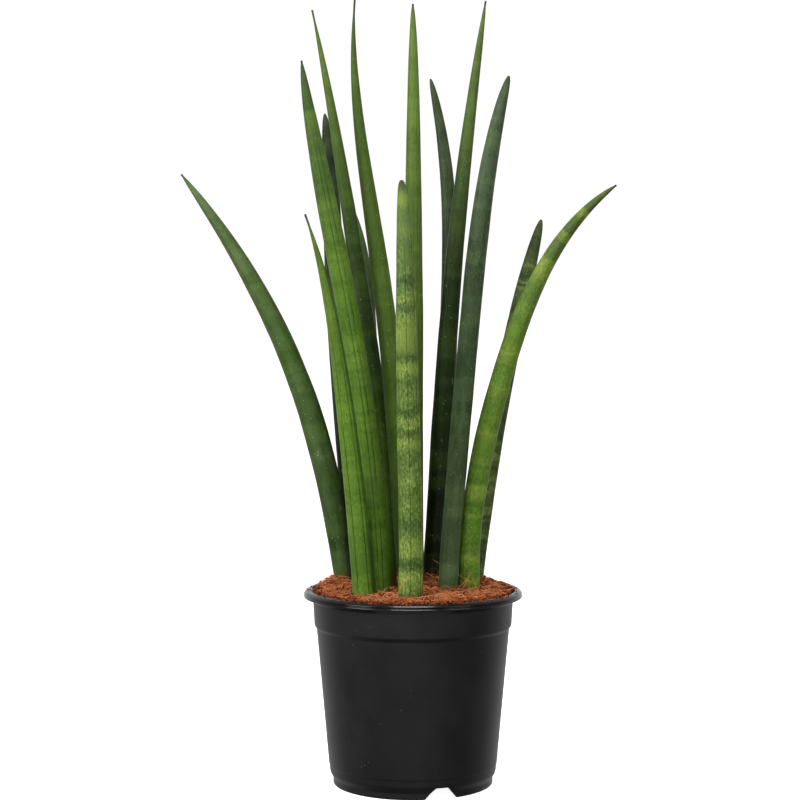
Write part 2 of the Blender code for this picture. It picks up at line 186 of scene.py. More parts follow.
LOOKS = {
    "leaf_far_left": dict(
        colours=((38, 60, 18), (62, 86, 31), (88, 107, 62)), pale=(96, 124, 60), paling=0.25,
        band=(40, 62, 26), banding=0.30, bands=40, mottle=0.03, lines=0.2, groove=0.08,
        bloom=0.22, painted_shade_side=(10, 0.45)),
    "leaf_tall_left": dict(
        colours=((92, 130, 36), (92, 127, 40), (66, 88, 40)), pale=(118, 146, 56), paling=0.30,
        band=(50, 76, 26), banding=0.30, bands=30, mottle=0.25, lines=0.9, groove=0.35,
        bloom=0.08),
    # Middle colour darkened with painted shade where leaf_tall_left shades it.
    "leaf_slim_left": dict(
        colours=((66, 94, 24), (34, 52, 12), (92, 115, 45)), pale=(80, 108, 40), paling=0.25,
        band=(44, 66, 24), banding=0.25, bands=34, mottle=0.20, lines=0.5, groove=0.12,
        bloom=0.06),
    "leaf_slim_inner_left": dict(
        colours=((70, 98, 30), (73, 96, 32), (69, 92, 36)), pale=(96, 122, 46), paling=0.25,
        band=(58, 84, 28), banding=0.25, bands=30, mottle=0.20, lines=0.4, groove=0.15,
        bloom=0.06, margin=178),
    "leaf_back_left": dict(
        colours=((36, 52, 20), (38, 54, 22), (27, 39, 20)), pale=(70, 90, 42), paling=0.35,
        band=(36, 50, 24), banding=0.35, bands=34, mottle=0.15, lines=0.3, groove=0.12,
        bloom=0.15),
    "leaf_front_left": dict(
        colours=((74, 106, 30), (95, 128, 42), (92, 117, 46)), pale=(120, 152, 56), paling=0.35,
        band=(70, 102, 32), banding=0.30, bands=36, mottle=0.35, lines=0.95, groove=0.35,
        bloom=0.04, margin=178, painted_shade_side=(14, 0.85)),
    # Foot and middle colours darkened with painted shade from the leaves in front.
    "leaf_back_inner": dict(
        colours=((18, 28, 5), (32, 48, 14), (72, 94, 42)), pale=(70, 92, 40), paling=0.25,
        band=(28, 44, 16), banding=0.25, bands=34, mottle=0.15, lines=0.3, groove=0.10,
        bloom=0.08),
    "leaf_tall_centre": dict(
        colours=((98, 120, 43), (80, 104, 38), (94, 120, 52)), pale=(112, 138, 58), paling=0.30,
        band=(66, 90, 34), banding=0.25, bands=24, mottle=0.20, lines=0.4, groove=0.12,
        bloom=0.06),
    "leaf_front_centre": dict(
        colours=((82, 107, 44), (92, 116, 52), (96, 120, 60)), pale=(134, 154, 68), paling=0.70,
        band=(58, 80, 38), banding=0.72, mottle=1.00, lines=0.80, groove=0.12,
        bloom=0.03, crossings=FRONT_CROSSINGS),
    # Foot and middle colours darkened with painted shade from the leaves in front.
    "leaf_back_centre_right": dict(
        colours=((24, 33, 14), (30, 42, 16), (49, 62, 34)), pale=(66, 84, 44), paling=0.30,
        band=(28, 40, 20), banding=0.40, bands=40, mottle=0.15, lines=0.3, groove=0.10,
        bloom=0.18),
    # Foot and middle colours darkened with painted shade from the leaves in front.
    "leaf_tall_right": dict(
        colours=((10, 20, 3), (30, 47, 10), (90, 111, 52)), pale=(70, 94, 38), paling=0.25,
        band=(30, 46, 16), banding=0.25, bands=30, mottle=0.15, lines=0.5, groove=0.18,
        bloom=0.04),
    "leaf_upright_right": dict(
        colours=((58, 77, 42), (54, 71, 41), (68, 83, 60)), pale=(92, 114, 68), paling=0.35,
        band=(46, 64, 40), banding=0.35, bands=36, mottle=0.30, lines=0.15, groove=0.10,
        bloom=0.25),
    "leaf_bowed_right": dict(
        colours=((76, 115, 24), (100, 133, 46), (80, 95, 51)), pale=(136, 157, 60), paling=0.60,
        band=(72, 100, 35), banding=0.40, bands=44, mottle=0.45, lines=0.25, groove=0.10,
        bloom=0.05, margin=6),
    "leaf_back_right": dict(
        colours=((68, 82, 35), (68, 84, 35), (62, 77, 41)), pale=(108, 124, 64), paling=0.70,
        band=(38, 54, 26), banding=0.65, bands=56, mottle=0.30, lines=0.3, groove=0.10,
        bloom=0.08),
}

# Marks on the leaves and on the pot (sRGB).
# Colour of the painted highlight line along one edge of some leaves.
EDGE_HIGHLIGHT_COLOUR = (120, 122, 84)
BLOOM_COLOUR = (104, 122, 92)
SPECK_COLOUR = (170, 182, 150)
SCAR_COLOUR = (120, 116, 78)
DUST_COLOUR = (110, 70, 38)
WITHERED_COLOUR = (66, 74, 52)
TIP_COLOUR = (62, 56, 40)
PLASTIC_DARK = (17, 17, 18)
PLASTIC_WORN = (24, 24, 24)
SCUFF_COLOUR = (74, 74, 74)
GRIT_COLOUR = (120, 118, 112)

# Studio: the floor's reach and how brightly it glows, how brightly the backdrop shows, the
# surrounding light in front and behind, and the softboxes (name, place, size, watts).
FLOOR_REACH = 60.0
FLOOR_GLOW = 0.93
BACKDROP_GLOW = 1.05
AMBIENT_FRONT = 0.12
AMBIENT_BACK = 0.85
SOFTBOXES = (
    ("key_left", (-1.75, -1.05, 1.00), (1.0, 1.4), 38.0),
    ("key_right", (1.45, -1.20, 0.90), (0.9, 1.3), 12.0),
    ("front", (-0.35, -2.30, 0.75), (1.2, 0.8), 15.0),
    ("overhead", (0.0, -0.5, 2.0), (0.9, 0.4), 24.0),
    ("floor_bounce", (0.0, -0.95, 0.03), (1.6, 0.7), 1.2),
)
SOFTBOX_AIM = (0.0, 0.0, 0.30)


# ------------------------------------------------------------------------------- helpers

def srgb(red, green, blue):
    """A linear colour with alpha from 0-255 display values."""
    linear = []
    for value in (red, green, blue):
        value /= 255
        linear.append(value / 12.92 if value <= 0.04045 else ((value + 0.055) / 1.055) ** 2.4)
    return (*linear, 1.0)


def add_mesh(name, vertices, faces, material=None, smooth=True):
    mesh = bpy.data.meshes.new(name)
    mesh.from_pydata([tuple(v) for v in vertices], [], faces)
    mesh.update()
    piece = bpy.data.objects.new(name, mesh)
    bpy.context.scene.collection.objects.link(piece)
    if material:
        mesh.materials.append(material)
    if smooth:
        mesh.shade_smooth()
    return piece


def ring(radius, height, sides):
    """Points of a level circle round the axis."""
    turns = [2 * pi * i / sides for i in range(sides)]
    return [(radius * cos(turn), radius * sin(turn), height) for turn in turns]


def loft_faces(rows, sides, capped=True):
    """Faces that join rows of equally many points, with the two ends closed if capped."""
    faces = []
    for row in range(rows - 1):
        for i in range(sides):
            j = (i + 1) % sides
            faces.append((row * sides + i, row * sides + j, (row + 1) * sides + j, (row + 1) * sides + i))
    if capped:
        faces.append(tuple(reversed(range(sides))))
        faces.append(tuple(range((rows - 1) * sides, rows * sides)))
    return faces


def settle(piece, node):
    """The piece stands for that CAD node, which is hidden, and joins the same body."""
    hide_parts(node)
    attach(piece, BODY)


class Shade:
    """Builds a node material around one Principled BSDF."""

    def __init__(self, name, roughness, specular=0.5):
        self.material = bpy.data.materials.new(name)
        self.material.use_nodes = True
        self.tree = self.material.node_tree
        self.shader = self.tree.nodes["Principled BSDF"]
        self.shader.inputs["Roughness"].default_value = roughness
        self.shader.inputs["Specular IOR Level"].default_value = specular

    def node(self, kind, **sockets):
        made = self.tree.nodes.new("ShaderNode" + kind)
        for key, value in sockets.items():
            self.feed(made.inputs[key.replace("_", " ")], value)
        return made

    def feed(self, socket, value):
        if isinstance(value, bpy.types.NodeSocket):
            self.tree.links.new(value, socket)
        else:
            socket.default_value = value

    def attribute(self, name):
        made = self.node("Attribute")
        made.attribute_name = name
        return made

    def object_place(self):
        return self.node("TexCoord").outputs["Object"]

    def math(self, operation, a, b=0.0, c=0.0):
        made = self.node("Math")
        made.operation = operation
        for socket, value in zip(made.inputs, (a, b, c)):
            self.feed(socket, value)
        return made.outputs[0]

    def times(self, a, b):
        return self.math('MULTIPLY', a, b)

    def stretch(self, vector, factors):
        made = self.node("VectorMath")
        made.operation = 'MULTIPLY'
        self.feed(made.inputs[0], vector)
        made.inputs[1].default_value = factors
        return made.outputs[0]

    def shift(self, vector, offset):
        made = self.node("VectorMath")
        made.operation = 'ADD'
        self.feed(made.inputs[0], vector)
        self.feed(made.inputs[1], offset)
        return made.outputs[0]

    def noise(self, place, rates, detail=3.0, roughness=0.5):
        """Cloudy noise with that many features to the metre along each axis."""
        made = self.node("TexNoise", Vector=self.stretch(place, rates), Scale=1.0, Detail=detail,
                         Roughness=roughness)
        return made.outputs["Fac"]

    def noise_along(self, value):
        """Cloudy noise of a single number."""
        made = self.node("TexNoise", Scale=1.0, Detail=2.0, Roughness=0.55)
        made.noise_dimensions = '1D'
        self.feed(made.inputs["W"], value)
        return made.outputs["Fac"]

    def height(self, vector):
        """The third part of a vector."""
        return self.node("SeparateXYZ", Vector=vector).outputs["Z"]

    def tones(self, height, stops):
        """A grey value that eases from one (height in mm, tone) stop to the next."""
        made = self.node("ValToRGB")
        top = stops[-1][0] * MM
        ramp = made.color_ramp
        ramp.interpolation = 'EASE'
        while len(ramp.elements) < len(stops):
            ramp.elements.new(1.0)
        for element, (at, tone) in zip(ramp.elements, stops):
            element.position = at * MM / top
            element.color = (tone, tone, tone, 1.0)
        self.feed(made.inputs["Fac"], self.math('DIVIDE', height, top))
        return made.outputs["Color"]

    def cells(self, vector, scale):
        """Distance to the nearest of so many scattered points to the metre."""
        return self.node("TexVoronoi", Vector=vector, Scale=scale).outputs["Distance"]

    def ramp(self, value, low, high):
        """0 below low, 1 above high (or the other way round if low is larger)."""
        made = self.node("MapRange", Value=value, From_Min=min(low, high), From_Max=max(low, high),
                         To_Min=float(low > high), To_Max=float(low < high))
        made.interpolation_type = 'SMOOTHSTEP'
        return made.outputs["Result"]

    def span(self, value, start, end):
        """start where value is 0, end where it is 1."""
        return self.node("MapRange", Value=value, To_Min=start, To_Max=end).outputs["Result"]

    def mix(self, factor, a, b, blend='MIX'):
        made = self.node("Mix")
        made.data_type = 'RGBA'
        made.blend_type = blend
        self.feed(made.inputs["Factor"], factor)
        self.feed(made.inputs[6], a)
        self.feed(made.inputs[7], b)
        return made.outputs[2]

    def tint(self, colour, factors):
        """The colour with its red, green and blue multiplied by the factors."""
        return self.mix(1.0, colour, (*factors, 1.0), 'MULTIPLY')

    def bump(self, height, distance, strength, normal=None):
        made = self.node("Bump", Strength=strength, Distance=distance, Height=height)
        if normal:
            self.feed(made.inputs["Normal"], normal)
        return made.outputs["Normal"]

    def finish(self, colour, roughness=None, normal=None):
        self.feed(self.shader.inputs["Base Color"], colour)
        if roughness:
            self.feed(self.shader.inputs["Roughness"], roughness)
        if normal:
            self.feed(self.shader.inputs["Normal"], normal)
        return self.material


# ------------------------------------------------------------------------------- leaves

def leaf_point(points, t):
    """The place at t, from 0 to 1, on the one smooth curve through all the points."""
    last = len(points) - 1
    place = Vector((0.0, 0.0, 0.0))
    for i, point in enumerate(points):
        weight = 1.0
        for j in range(last + 1):
            if j != i:
                weight *= (t * last - j) / (i - j)
        place += weight * Vector(point) * MM
    return place


def leaf_diameter(t, widest, heel_share, widest_at, bluntness):
    below = max(1.0 - t / widest_at, 0.0)
    above = max((t - widest_at) / (1.0 - widest_at), 0.0)
    swell = 1.0 - (1.0 - heel_share) * below ** 2
    taper = max(1.0 - above ** LEAF_TAPER_POWER, 0.0) ** bluntness
    return max(widest * MM * swell * taper, LEAF_TIP_DIAMETER)


def leaf_stations(design):
    """Centre, diameter and way along (0 at the substrate, 1 at the tip) of each ring."""
    points, *shape = design
    root = leaf_point(points, 0.0)
    down = (root - leaf_point(points, LEAF_FOOT_STEP)).normalized()
    surface = leaf_diameter(0.0, *shape)
    stations = [(root + down * LEAF_BURIED, surface * LEAF_HEEL, 0.0),
                (root + down * LEAF_BURIED / 3, surface, 0.0)]
    for i in range(LEAF_RINGS):
        t = 1.0 - (1.0 - i / (LEAF_RINGS - 1)) ** LEAF_RING_CROWDING
        stations.append((leaf_point(points, t), leaf_diameter(t, *shape), t))
    return stations


def groove_depths(index, angles, widest):
    """Depth of the grooves round the leaf, from 0 on the ribs to 1 in the deepest groove.

    There are about a dozen, unevenly spaced, one of them at the front.
    """
    count = 11 + index % 3
    depths = np.zeros(len(angles))
    for k in range(count):
        centre = pi / 2 + (k + 0.25 * sin(3.1 * k)) * 2 * pi / count
        gap = np.abs((angles - centre + pi) % (2 * pi) - pi) * widest / 2
        share = 0.55 + 0.45 * sin(2.3 * k + index)
        depths = np.maximum(depths, share * np.exp(-(gap / GROOVE_WIDTH) ** 2))
    return [float(depth) for depth in np.clip(depths, 0.0, 1.0)]


def unevenness(index, c, s, travelled):
    """How far a place on the leaf stands out from a smooth round, as a share of its radius."""
    swell = 0.0
    for share, around, along, apart in LEAF_UNEVENNESS:
        swell += share * noise.noise(Vector((c * around + index * apart, s * around, travelled * along)))
    return swell


def add_values(piece, label, values):
    """One number for each point of the mesh, for its material to read."""
    layer = piece.data.attributes.new(label, 'FLOAT', 'POINT')
    layer.data.foreach_set("value", values)


def build_leaf(index, name):
    design = LEAVES[name]
    look = LOOKS[name]
    stations = leaf_stations(design)
    centres = [station[0] for station in stations]
    widest = design[1] * MM
    angles = 2 * pi * np.arange(LEAF_SIDES) / LEAF_SIDES
    depths = groove_depths(index, angles, widest)

    side = Vector((1.0, 0.0, 0.0))
    vertices = []
    along = []
    groove = []
    unrolled = []
    travelled = -LEAF_BURIED
    for i, (centre, diameter, t) in enumerate(stations):
        if i:
            travelled += (centre - centres[i - 1]).length
        ahead = centres[min(i + 1, len(centres) - 1)] - centres[max(i - 1, 0)]
        ahead.normalize()
        side = (side - ahead * side.dot(ahead)).normalized()
        across = side.cross(ahead)
        fade = min(1.0, (1.0 - t) * GROOVE_FADE) * diameter / widest
        for angle, depth in zip(angles, depths):
            c, s = cos(angle), sin(angle)
            radius = diameter / 2 * (1.0 + unevenness(index, c, s, travelled))
            radius -= look["groove"] * MM * depth * fade
            vertices.append(centre + radius * (c * side + s * across))
            unrolled.append((c * UNROLLED_RADIUS, s * UNROLLED_RADIUS, travelled))
            along.append(t)
            groove.append(depth * min(1.0, fade * 1.3))
    faces = loft_faces(len(stations), LEAF_SIDES)
    piece = add_mesh(name + "_blade", vertices, faces, leaf_material(index, name, look))
    add_values(piece, "along", along)
    add_values(piece, "groove", groove)
    add_values(piece, "to_tip", [(vertex - centres[-1]).length for vertex in vertices])
    layer = piece.data.attributes.new("unrolled", 'FLOAT_VECTOR', 'POINT')
    layer.data.foreach_set("vector", [x for place in unrolled for x in place])
    settle(piece, name)


def leaf_bands(shade, place, look, colour):
    """Pale zones and dark lines across the leaf, with ragged edges."""
    ragged = shade.noise(place, (900, 900, 420), detail=3, roughness=0.65)
    ragged = shade.math('SUBTRACT', ragged, 0.5)
    wave = shade.noise(place, (150, 150, 80), detail=3)
    wave = shade.math('SUBTRACT', wave, 0.5)
    if "crossings" in look:
        height = shade.height(shade.attribute("unrolled").outputs["Vector"])
        height = shade.math('MULTIPLY_ADD', ragged, 0.022, height)
        height = shade.math('MULTIPLY_ADD', wave, 0.006, height)
        tone = shade.tones(height, look["crossings"])
        pale = shade.ramp(tone, 0.45, 0.85)
        dark = shade.ramp(tone, 0.34, 0.08)
    else:
        height = shade.math('MULTIPLY_ADD', wave, 0.012, shade.height(place))
        zone = shade.noise_along(shade.times(height, look["bands"]))
        pale = shade.ramp(shade.math('MULTIPLY_ADD', ragged, 0.35, zone), 0.47, 0.60)
        crossing = shade.noise_along(shade.math('MULTIPLY_ADD', height, 1.25 * look["bands"], 31.7))
        crossing = shade.math('MULTIPLY_ADD', ragged, 0.22, crossing)
        from_line = shade.math('ABSOLUTE', shade.math('SUBTRACT', crossing, 0.5))
        dark = shade.ramp(from_line, 0.070, 0.010)
    colour = shade.mix(shade.times(pale, look["paling"]), colour, srgb(*look["pale"]))
    return shade.mix(shade.times(dark, look["banding"]), colour, srgb(*look["band"]))


def leaf_texture(shade, place, look, colour):
    """Soft blotches, lengthwise streaks and fine pale mottling."""
    blotch = shade.noise(place, (330, 330, 110), detail=4, roughness=0.6)
    darker = shade.tint(colour, (0.66, 0.72, 0.60))
    colour = shade.mix(shade.times(shade.ramp(blotch, 0.55, 0.35), 0.55), colour, darker)
    streak = shade.noise(place, (800, 800, 12), detail=2, roughness=0.6)
    thin = shade.tint(colour, (0.80, 0.84, 0.76))
    colour = shade.mix(shade.times(shade.ramp(streak, 0.42, 0.68), 0.5), colour, thin)
    coarse = shade.noise(place, (750, 750, 360), detail=4, roughness=0.75)
    lighter = shade.tint(colour, (1.95, 1.68, 2.3))
    deeper = shade.tint(colour, (0.40, 0.50, 0.36))
    field = shade.ramp(shade.noise(place, (60, 60, 38), detail=2), 0.30, 0.52)
    clear_of_tip = shade.ramp(shade.attribute("to_tip").outputs["Fac"], 0.0, 60.0 * MM)
    amount = shade.times(shade.times(field, clear_of_tip), look["mottle"])
    flecks = shade.ramp(coarse, 0.47, 0.38)
    dots = shade.ramp(coarse, 0.52, 0.60)
    colour = shade.mix(shade.times(flecks, amount), colour, deeper)
    return shade.mix(shade.times(dots, amount), colour, lighter)


def facing(shade, degrees):
    """1 on the line that runs up the leaf in that direction, less to either side of it."""
    angle = radians(degrees)
    aim = shade.node("VectorMath")
    aim.operation = 'DOT_PRODUCT'
    shade.feed(aim.inputs[0], shade.attribute("unrolled").outputs["Vector"])
    aim.inputs[1].default_value = (cos(angle) / UNROLLED_RADIUS, sin(angle) / UNROLLED_RADIUS, 0.0)
    return aim.outputs["Value"]


def leaf_lines(shade, place, look, colour):
    """Dark lines in the grooves, painted shade down one side and a painted highlight line."""
    groove = shade.attribute("groove").outputs["Fac"]
    # Dark lines in the grooves: the leaf's darker green there, deepened with painted shade.
    dark = shade.tint(colour, (0.22, 0.28, 0.16))
    whole = shade.ramp(shade.noise(place, (260, 260, 30), detail=2), 0.28, 0.50)
    depth = shade.times(shade.ramp(groove, 0.25, 0.95), look["lines"])
    colour = shade.mix(shade.times(depth, whole), colour, dark)
    # Painted shade down one side of the leaf, the side that turns away from the light.
    if "painted_shade_side" in look:
        direction, strength = look["painted_shade_side"]
        inside = shade.times(shade.ramp(facing(shade, direction), 0.80, 0.94), strength)
        colour = shade.mix(inside, colour, shade.tint(colour, (0.30, 0.42, 0.26)))
    # A painted highlight line along one edge of the leaf, where light catches it.
    if "margin" in look:
        edge = shade.ramp(facing(shade, look["margin"]), 0.993, 0.9985)
        colour = shade.mix(shade.times(edge, 0.7), colour, srgb(*EDGE_HIGHLIGHT_COLOUR))
    return colour


def leaf_marks(shade, place, look, colour):
    """Waxy bloom, pale specks and small scars."""
    patch = shade.noise(place, (110, 110, 35), detail=4, roughness=0.6)
    bloom = shade.times(shade.ramp(patch, 0.35, 0.7), look["bloom"])
    colour = shade.mix(bloom, colour, srgb(*BLOOM_COLOUR))
    speck = shade.cells(place, 330.0)
    keep = shade.ramp(shade.noise(place, (160, 160, 160), detail=1), 0.55, 0.6)
    dots = shade.times(shade.ramp(speck, 0.16, 0.10), keep)
    colour = shade.mix(shade.times(dots, 0.55), colour, srgb(*SPECK_COLOUR))
    scar = shade.noise(place, (260, 260, 120), detail=3)
    scarred = shade.times(shade.ramp(scar, 0.69, 0.75), 0.5)
    return shade.mix(scarred, colour, srgb(*SCAR_COLOUR))


def leaf_ends(shade, place, colour):
    """Coir dust at the foot and the dry, frayed tip."""
    ragged = shade.noise(place, (500, 500, 400), detail=2)
    low = shade.ramp(shade.height(shade.attribute("unrolled").outputs["Vector"]), 6.0 * MM, 0.0)
    dusty = shade.times(low, shade.ramp(ragged, 0.45, 0.65))
    colour = shade.mix(dusty, colour, srgb(*DUST_COLOUR))
    fray = shade.times(shade.math('SUBTRACT', ragged, 0.5), 8.0 * MM)
    to_tip = shade.math('ADD', shade.attribute("to_tip").outputs["Fac"], fray)
    withered = shade.times(shade.ramp(to_tip, 16.0 * MM, 4.0 * MM), 0.6)
    colour = shade.mix(withered, colour, srgb(*WITHERED_COLOUR))
    return shade.mix(shade.ramp(to_tip, 3.5 * MM, 1.0 * MM), colour, srgb(*TIP_COLOUR))


def leaf_material(index, name, look):
    shade = Shade(name + "_skin", roughness=0.42, specular=0.10)
    offset = (index * 0.37, index * 0.11, index * 0.73)
    place = shade.shift(shade.attribute("unrolled").outputs["Vector"], offset)
    foot, middle, top = (srgb(*colour) for colour in look["colours"])
    drift = shade.noise(place, (60, 60, 14), detail=2)
    drift = shade.times(shade.math('SUBTRACT', drift, 0.5), 0.25)
    rise = shade.math('ADD', shade.attribute("along").outputs["Fac"], drift)
    colour = shade.mix(shade.ramp(rise, 0.0, 0.45), foot, middle)
    colour = shade.mix(shade.ramp(rise, 0.5, 0.95), colour, top)
    colour = leaf_bands(shade, place, look, colour)
    colour = leaf_texture(shade, place, look, colour)
    colour = leaf_lines(shade, place, look, colour)
    colour = leaf_marks(shade, place, look, colour)
    colour = leaf_ends(shade, place, colour)

    ribs = shade.noise(place, (900, 900, 12), detail=2)
    skin = shade.noise(place, (2200, 2200, 1400), detail=2)
    normal = shade.bump(ribs, 0.25 * MM, 0.5)
    normal = shade.bump(skin, 0.01 * MM, 0.5, normal)
    roughness = shade.span(shade.noise(place, (200, 200, 80), detail=3), 0.32, 0.56)
    return shade.finish(colour, roughness, normal)


# ---------------------------------------------------------------------------------- pot

def rounded(corners, steps=5):
    """A profile whose corners (radius, height, rounding) are filleted."""
    profile = []
    for i, (x, y, rounding) in enumerate(corners):
        here = Vector((x, y))
        if rounding == 0.0 or i in (0, len(corners) - 1):
            profile.append((x, y))
            continue
        before = Vector(corners[i - 1][:2]) - here
        after = Vector(corners[i + 1][:2]) - here
        cut = min(rounding, before.length * 0.48, after.length * 0.48)
        start = here + before.normalized() * cut
        end = here + after.normalized() * cut
        for k in range(steps + 1):
            t = k / steps
            point = (1 - t) ** 2 * start + 2 * t * (1 - t) * here + t * t * end
            profile.append((point.x, point.y))
    return profile


def pot_profile():
    """Up the outside of the pot from under its middle, over the rim and down the inside."""
    lip = RIM_TOP - RIM_LIP_DROP
    corners = [
        # Pad and floor from below.
        (0.0, 0.6 * MM, 0.0),
        (3.0 * MM, 0.6 * MM, 0.3 * MM),
        (3.6 * MM, 0.0, 0.3 * MM),
        (PAD_RADIUS, 0.0, 0.8 * MM),
        (PAD_RADIUS + PAD_SLOPE, FLOOR_UNDERSIDE, 1.5 * MM),
        (33.0 * MM, FLOOR_UNDERSIDE, 0.3 * MM),
        (33.3 * MM, FLOOR_UNDERSIDE - 0.7 * MM, 0.2 * MM),
        (34.5 * MM, FLOOR_UNDERSIDE - 0.7 * MM, 0.2 * MM),
        (34.8 * MM, FLOOR_UNDERSIDE, 0.3 * MM),
        (FOOT_INNER_RADIUS, FLOOR_UNDERSIDE, 1.6 * MM),
        # Foot ring.
        (FOOT_INNER_RADIUS, 0.0, 0.5 * MM),
        (FOOT_RADIUS - 0.1 * MM, 0.0, 1.3 * MM),
        (FOOT_RADIUS, FOOT_CHAMFER, 0.8 * MM),
        # Body, ledge and collar.
        (BODY_FOOT_RADIUS, BODY_FOOT, 1.6 * MM),
        (BODY_FOOT_RADIUS + 0.55 * MM, BODY_FOOT + 5.6 * MM, 0.3 * MM),
        (BODY_FOOT_RADIUS + 0.85 * MM, BODY_FOOT + 6.2 * MM, 0.3 * MM),
        (BODY_TOP_RADIUS, LEDGE_BOTTOM, 0.7 * MM),
        (COLLAR_FOOT_RADIUS, LEDGE_TOP, 0.8 * MM),
        (COLLAR_RADIUS, lip + 1.2 * MM, 1.0 * MM),
        # Rolled rim.
        (COLLAR_RADIUS + 1.4 * MM, RIM_TOP - 2.2 * MM, 0.8 * MM),
        (RIM_RADIUS - 1.6 * MM, RIM_TOP - 2.2 * MM, 0.6 * MM),
        (RIM_RADIUS - 1.3 * MM, lip, 0.6 * MM),
        (RIM_RADIUS - 0.1 * MM, lip, 0.6 * MM),
        (RIM_RADIUS, lip + 1.3 * MM, 0.4 * MM),
        (RIM_RADIUS - 0.9 * MM, lip + 2.1 * MM, 0.3 * MM),
        (RIM_RADIUS - 0.8 * MM, lip + 2.5 * MM, 0.3 * MM),
        (RIM_RADIUS - 0.1 * MM, lip + 3.0 * MM, 0.4 * MM),
        (RIM_RADIUS - 0.5 * MM, RIM_TOP - 2.1 * MM, 0.6 * MM),
        (RIM_RADIUS - 1.8 * MM, RIM_TOP - 0.9 * MM, 0.8 * MM),
        (RIM_RADIUS - 4.0 * MM, RIM_TOP, 1.2 * MM),
        (COLLAR_RADIUS + 0.9 * MM, RIM_TOP - 0.5 * MM, 1.0 * MM),
        # Inside, down to the floor.
        (COLLAR_RADIUS - WALL + 0.1 * MM, RIM_TOP - 3.2 * MM, 1.4 * MM),
        (COLLAR_FOOT_RADIUS - WALL, LEDGE_TOP - 0.3 * MM, 0.5 * MM),
        (BODY_TOP_RADIUS - WALL, LEDGE_BOTTOM - 0.6 * MM, 0.5 * MM),
        (BODY_FOOT_RADIUS - WALL - 0.2 * MM, FLOOR_TOP, 1.0 * MM),
        (PAD_RADIUS + PAD_SLOPE - WALL, FLOOR_TOP, 0.6 * MM),
        (PAD_RADIUS - WALL, WALL + 0.6 * MM, 0.6 * MM),
        (0.0, WALL + 0.6 * MM, 0.0),
    ]
    return rounded(corners)


def turned(name, profile, segments, material):
    """A solid of revolution whose profile starts and ends on the axis."""
    inner = profile[1:-1]
    vertices = [point for radius, height in inner for point in ring(radius, height, segments)]
    faces = loft_faces(len(inner), segments, capped=False)
    for (_, height), row, flip in ((profile[0], 0, True), (profile[-1], len(inner) - 1, False)):
        hub = len(vertices)
        vertices.append((0.0, 0.0, height))
        for i in range(segments):
            a = row * segments + i
            b = row * segments + (i + 1) % segments
            faces.append((hub, b, a) if flip else (hub, a, b))
    return add_mesh(name, vertices, faces, material)


def prism(name, lower, upper):
    """A closed block between two outlines of equally many points."""
    return add_mesh(name, lower + upper, loft_faces(2, len(lower)), smooth=False)


def notch_block(direction):
    outline = [
        (-NOTCH_BOTTOM_WIDTH / 2, -1.0 * MM),
        (NOTCH_BOTTOM_WIDTH / 2, -1.0 * MM),
        (NOTCH_BOTTOM_WIDTH / 2, 0.0),
        (NOTCH_TOP_WIDTH / 2 + NOTCH_BEVEL, NOTCH_HEIGHT - NOTCH_BEVEL),
        (NOTCH_TOP_WIDTH / 2 - NOTCH_BEVEL, NOTCH_HEIGHT),
        (-NOTCH_TOP_WIDTH / 2 + NOTCH_BEVEL, NOTCH_HEIGHT),
        (-NOTCH_TOP_WIDTH / 2 - NOTCH_BEVEL, NOTCH_HEIGHT - NOTCH_BEVEL),
        (-NOTCH_BOTTOM_WIDTH / 2, 0.0),
    ]
    turn = Matrix.Rotation(radians(direction), 3, 'Z')
    near, far = ([turn @ Vector((reach, across, height)) for across, height in outline]
                 for reach in (FOOT_INNER_RADIUS - NOTCH_REACH, BODY_FOOT_RADIUS + NOTCH_REACH))
    return prism("notch", near, far)


def drain_block(index):
    turn = 2 * pi * (index + 0.5) / DRAIN_HOLE_COUNT
    x, y = DRAIN_CIRCLE_RADIUS * cos(turn), DRAIN_CIRCLE_RADIUS * sin(turn)
    lower, upper = ([(x + right, y + back, z)
                     for right, back, z in ring(DRAIN_HOLE_RADIUS, height, DRAIN_HOLE_SIDES)]
                    for height in (FLOOR_UNDERSIDE - 3 * MM, FLOOR_TOP + 3 * MM))
    return prism("drain", lower, upper)


def carve(piece, blocks):
    """Cuts the blocks out of the piece and removes them."""
    for block in blocks:
        step = piece.modifiers.new("cut", 'BOOLEAN')
        step.operation = 'DIFFERENCE'
        step.solver = 'EXACT'
        step.object = block
    view = bpy.context.evaluated_depsgraph_get()
    mesh = bpy.data.meshes.new_from_object(piece.evaluated_get(view))
    piece.modifiers.clear()
    piece.data = mesh
    for block in blocks:
        bpy.data.objects.remove(block, do_unlink=True)


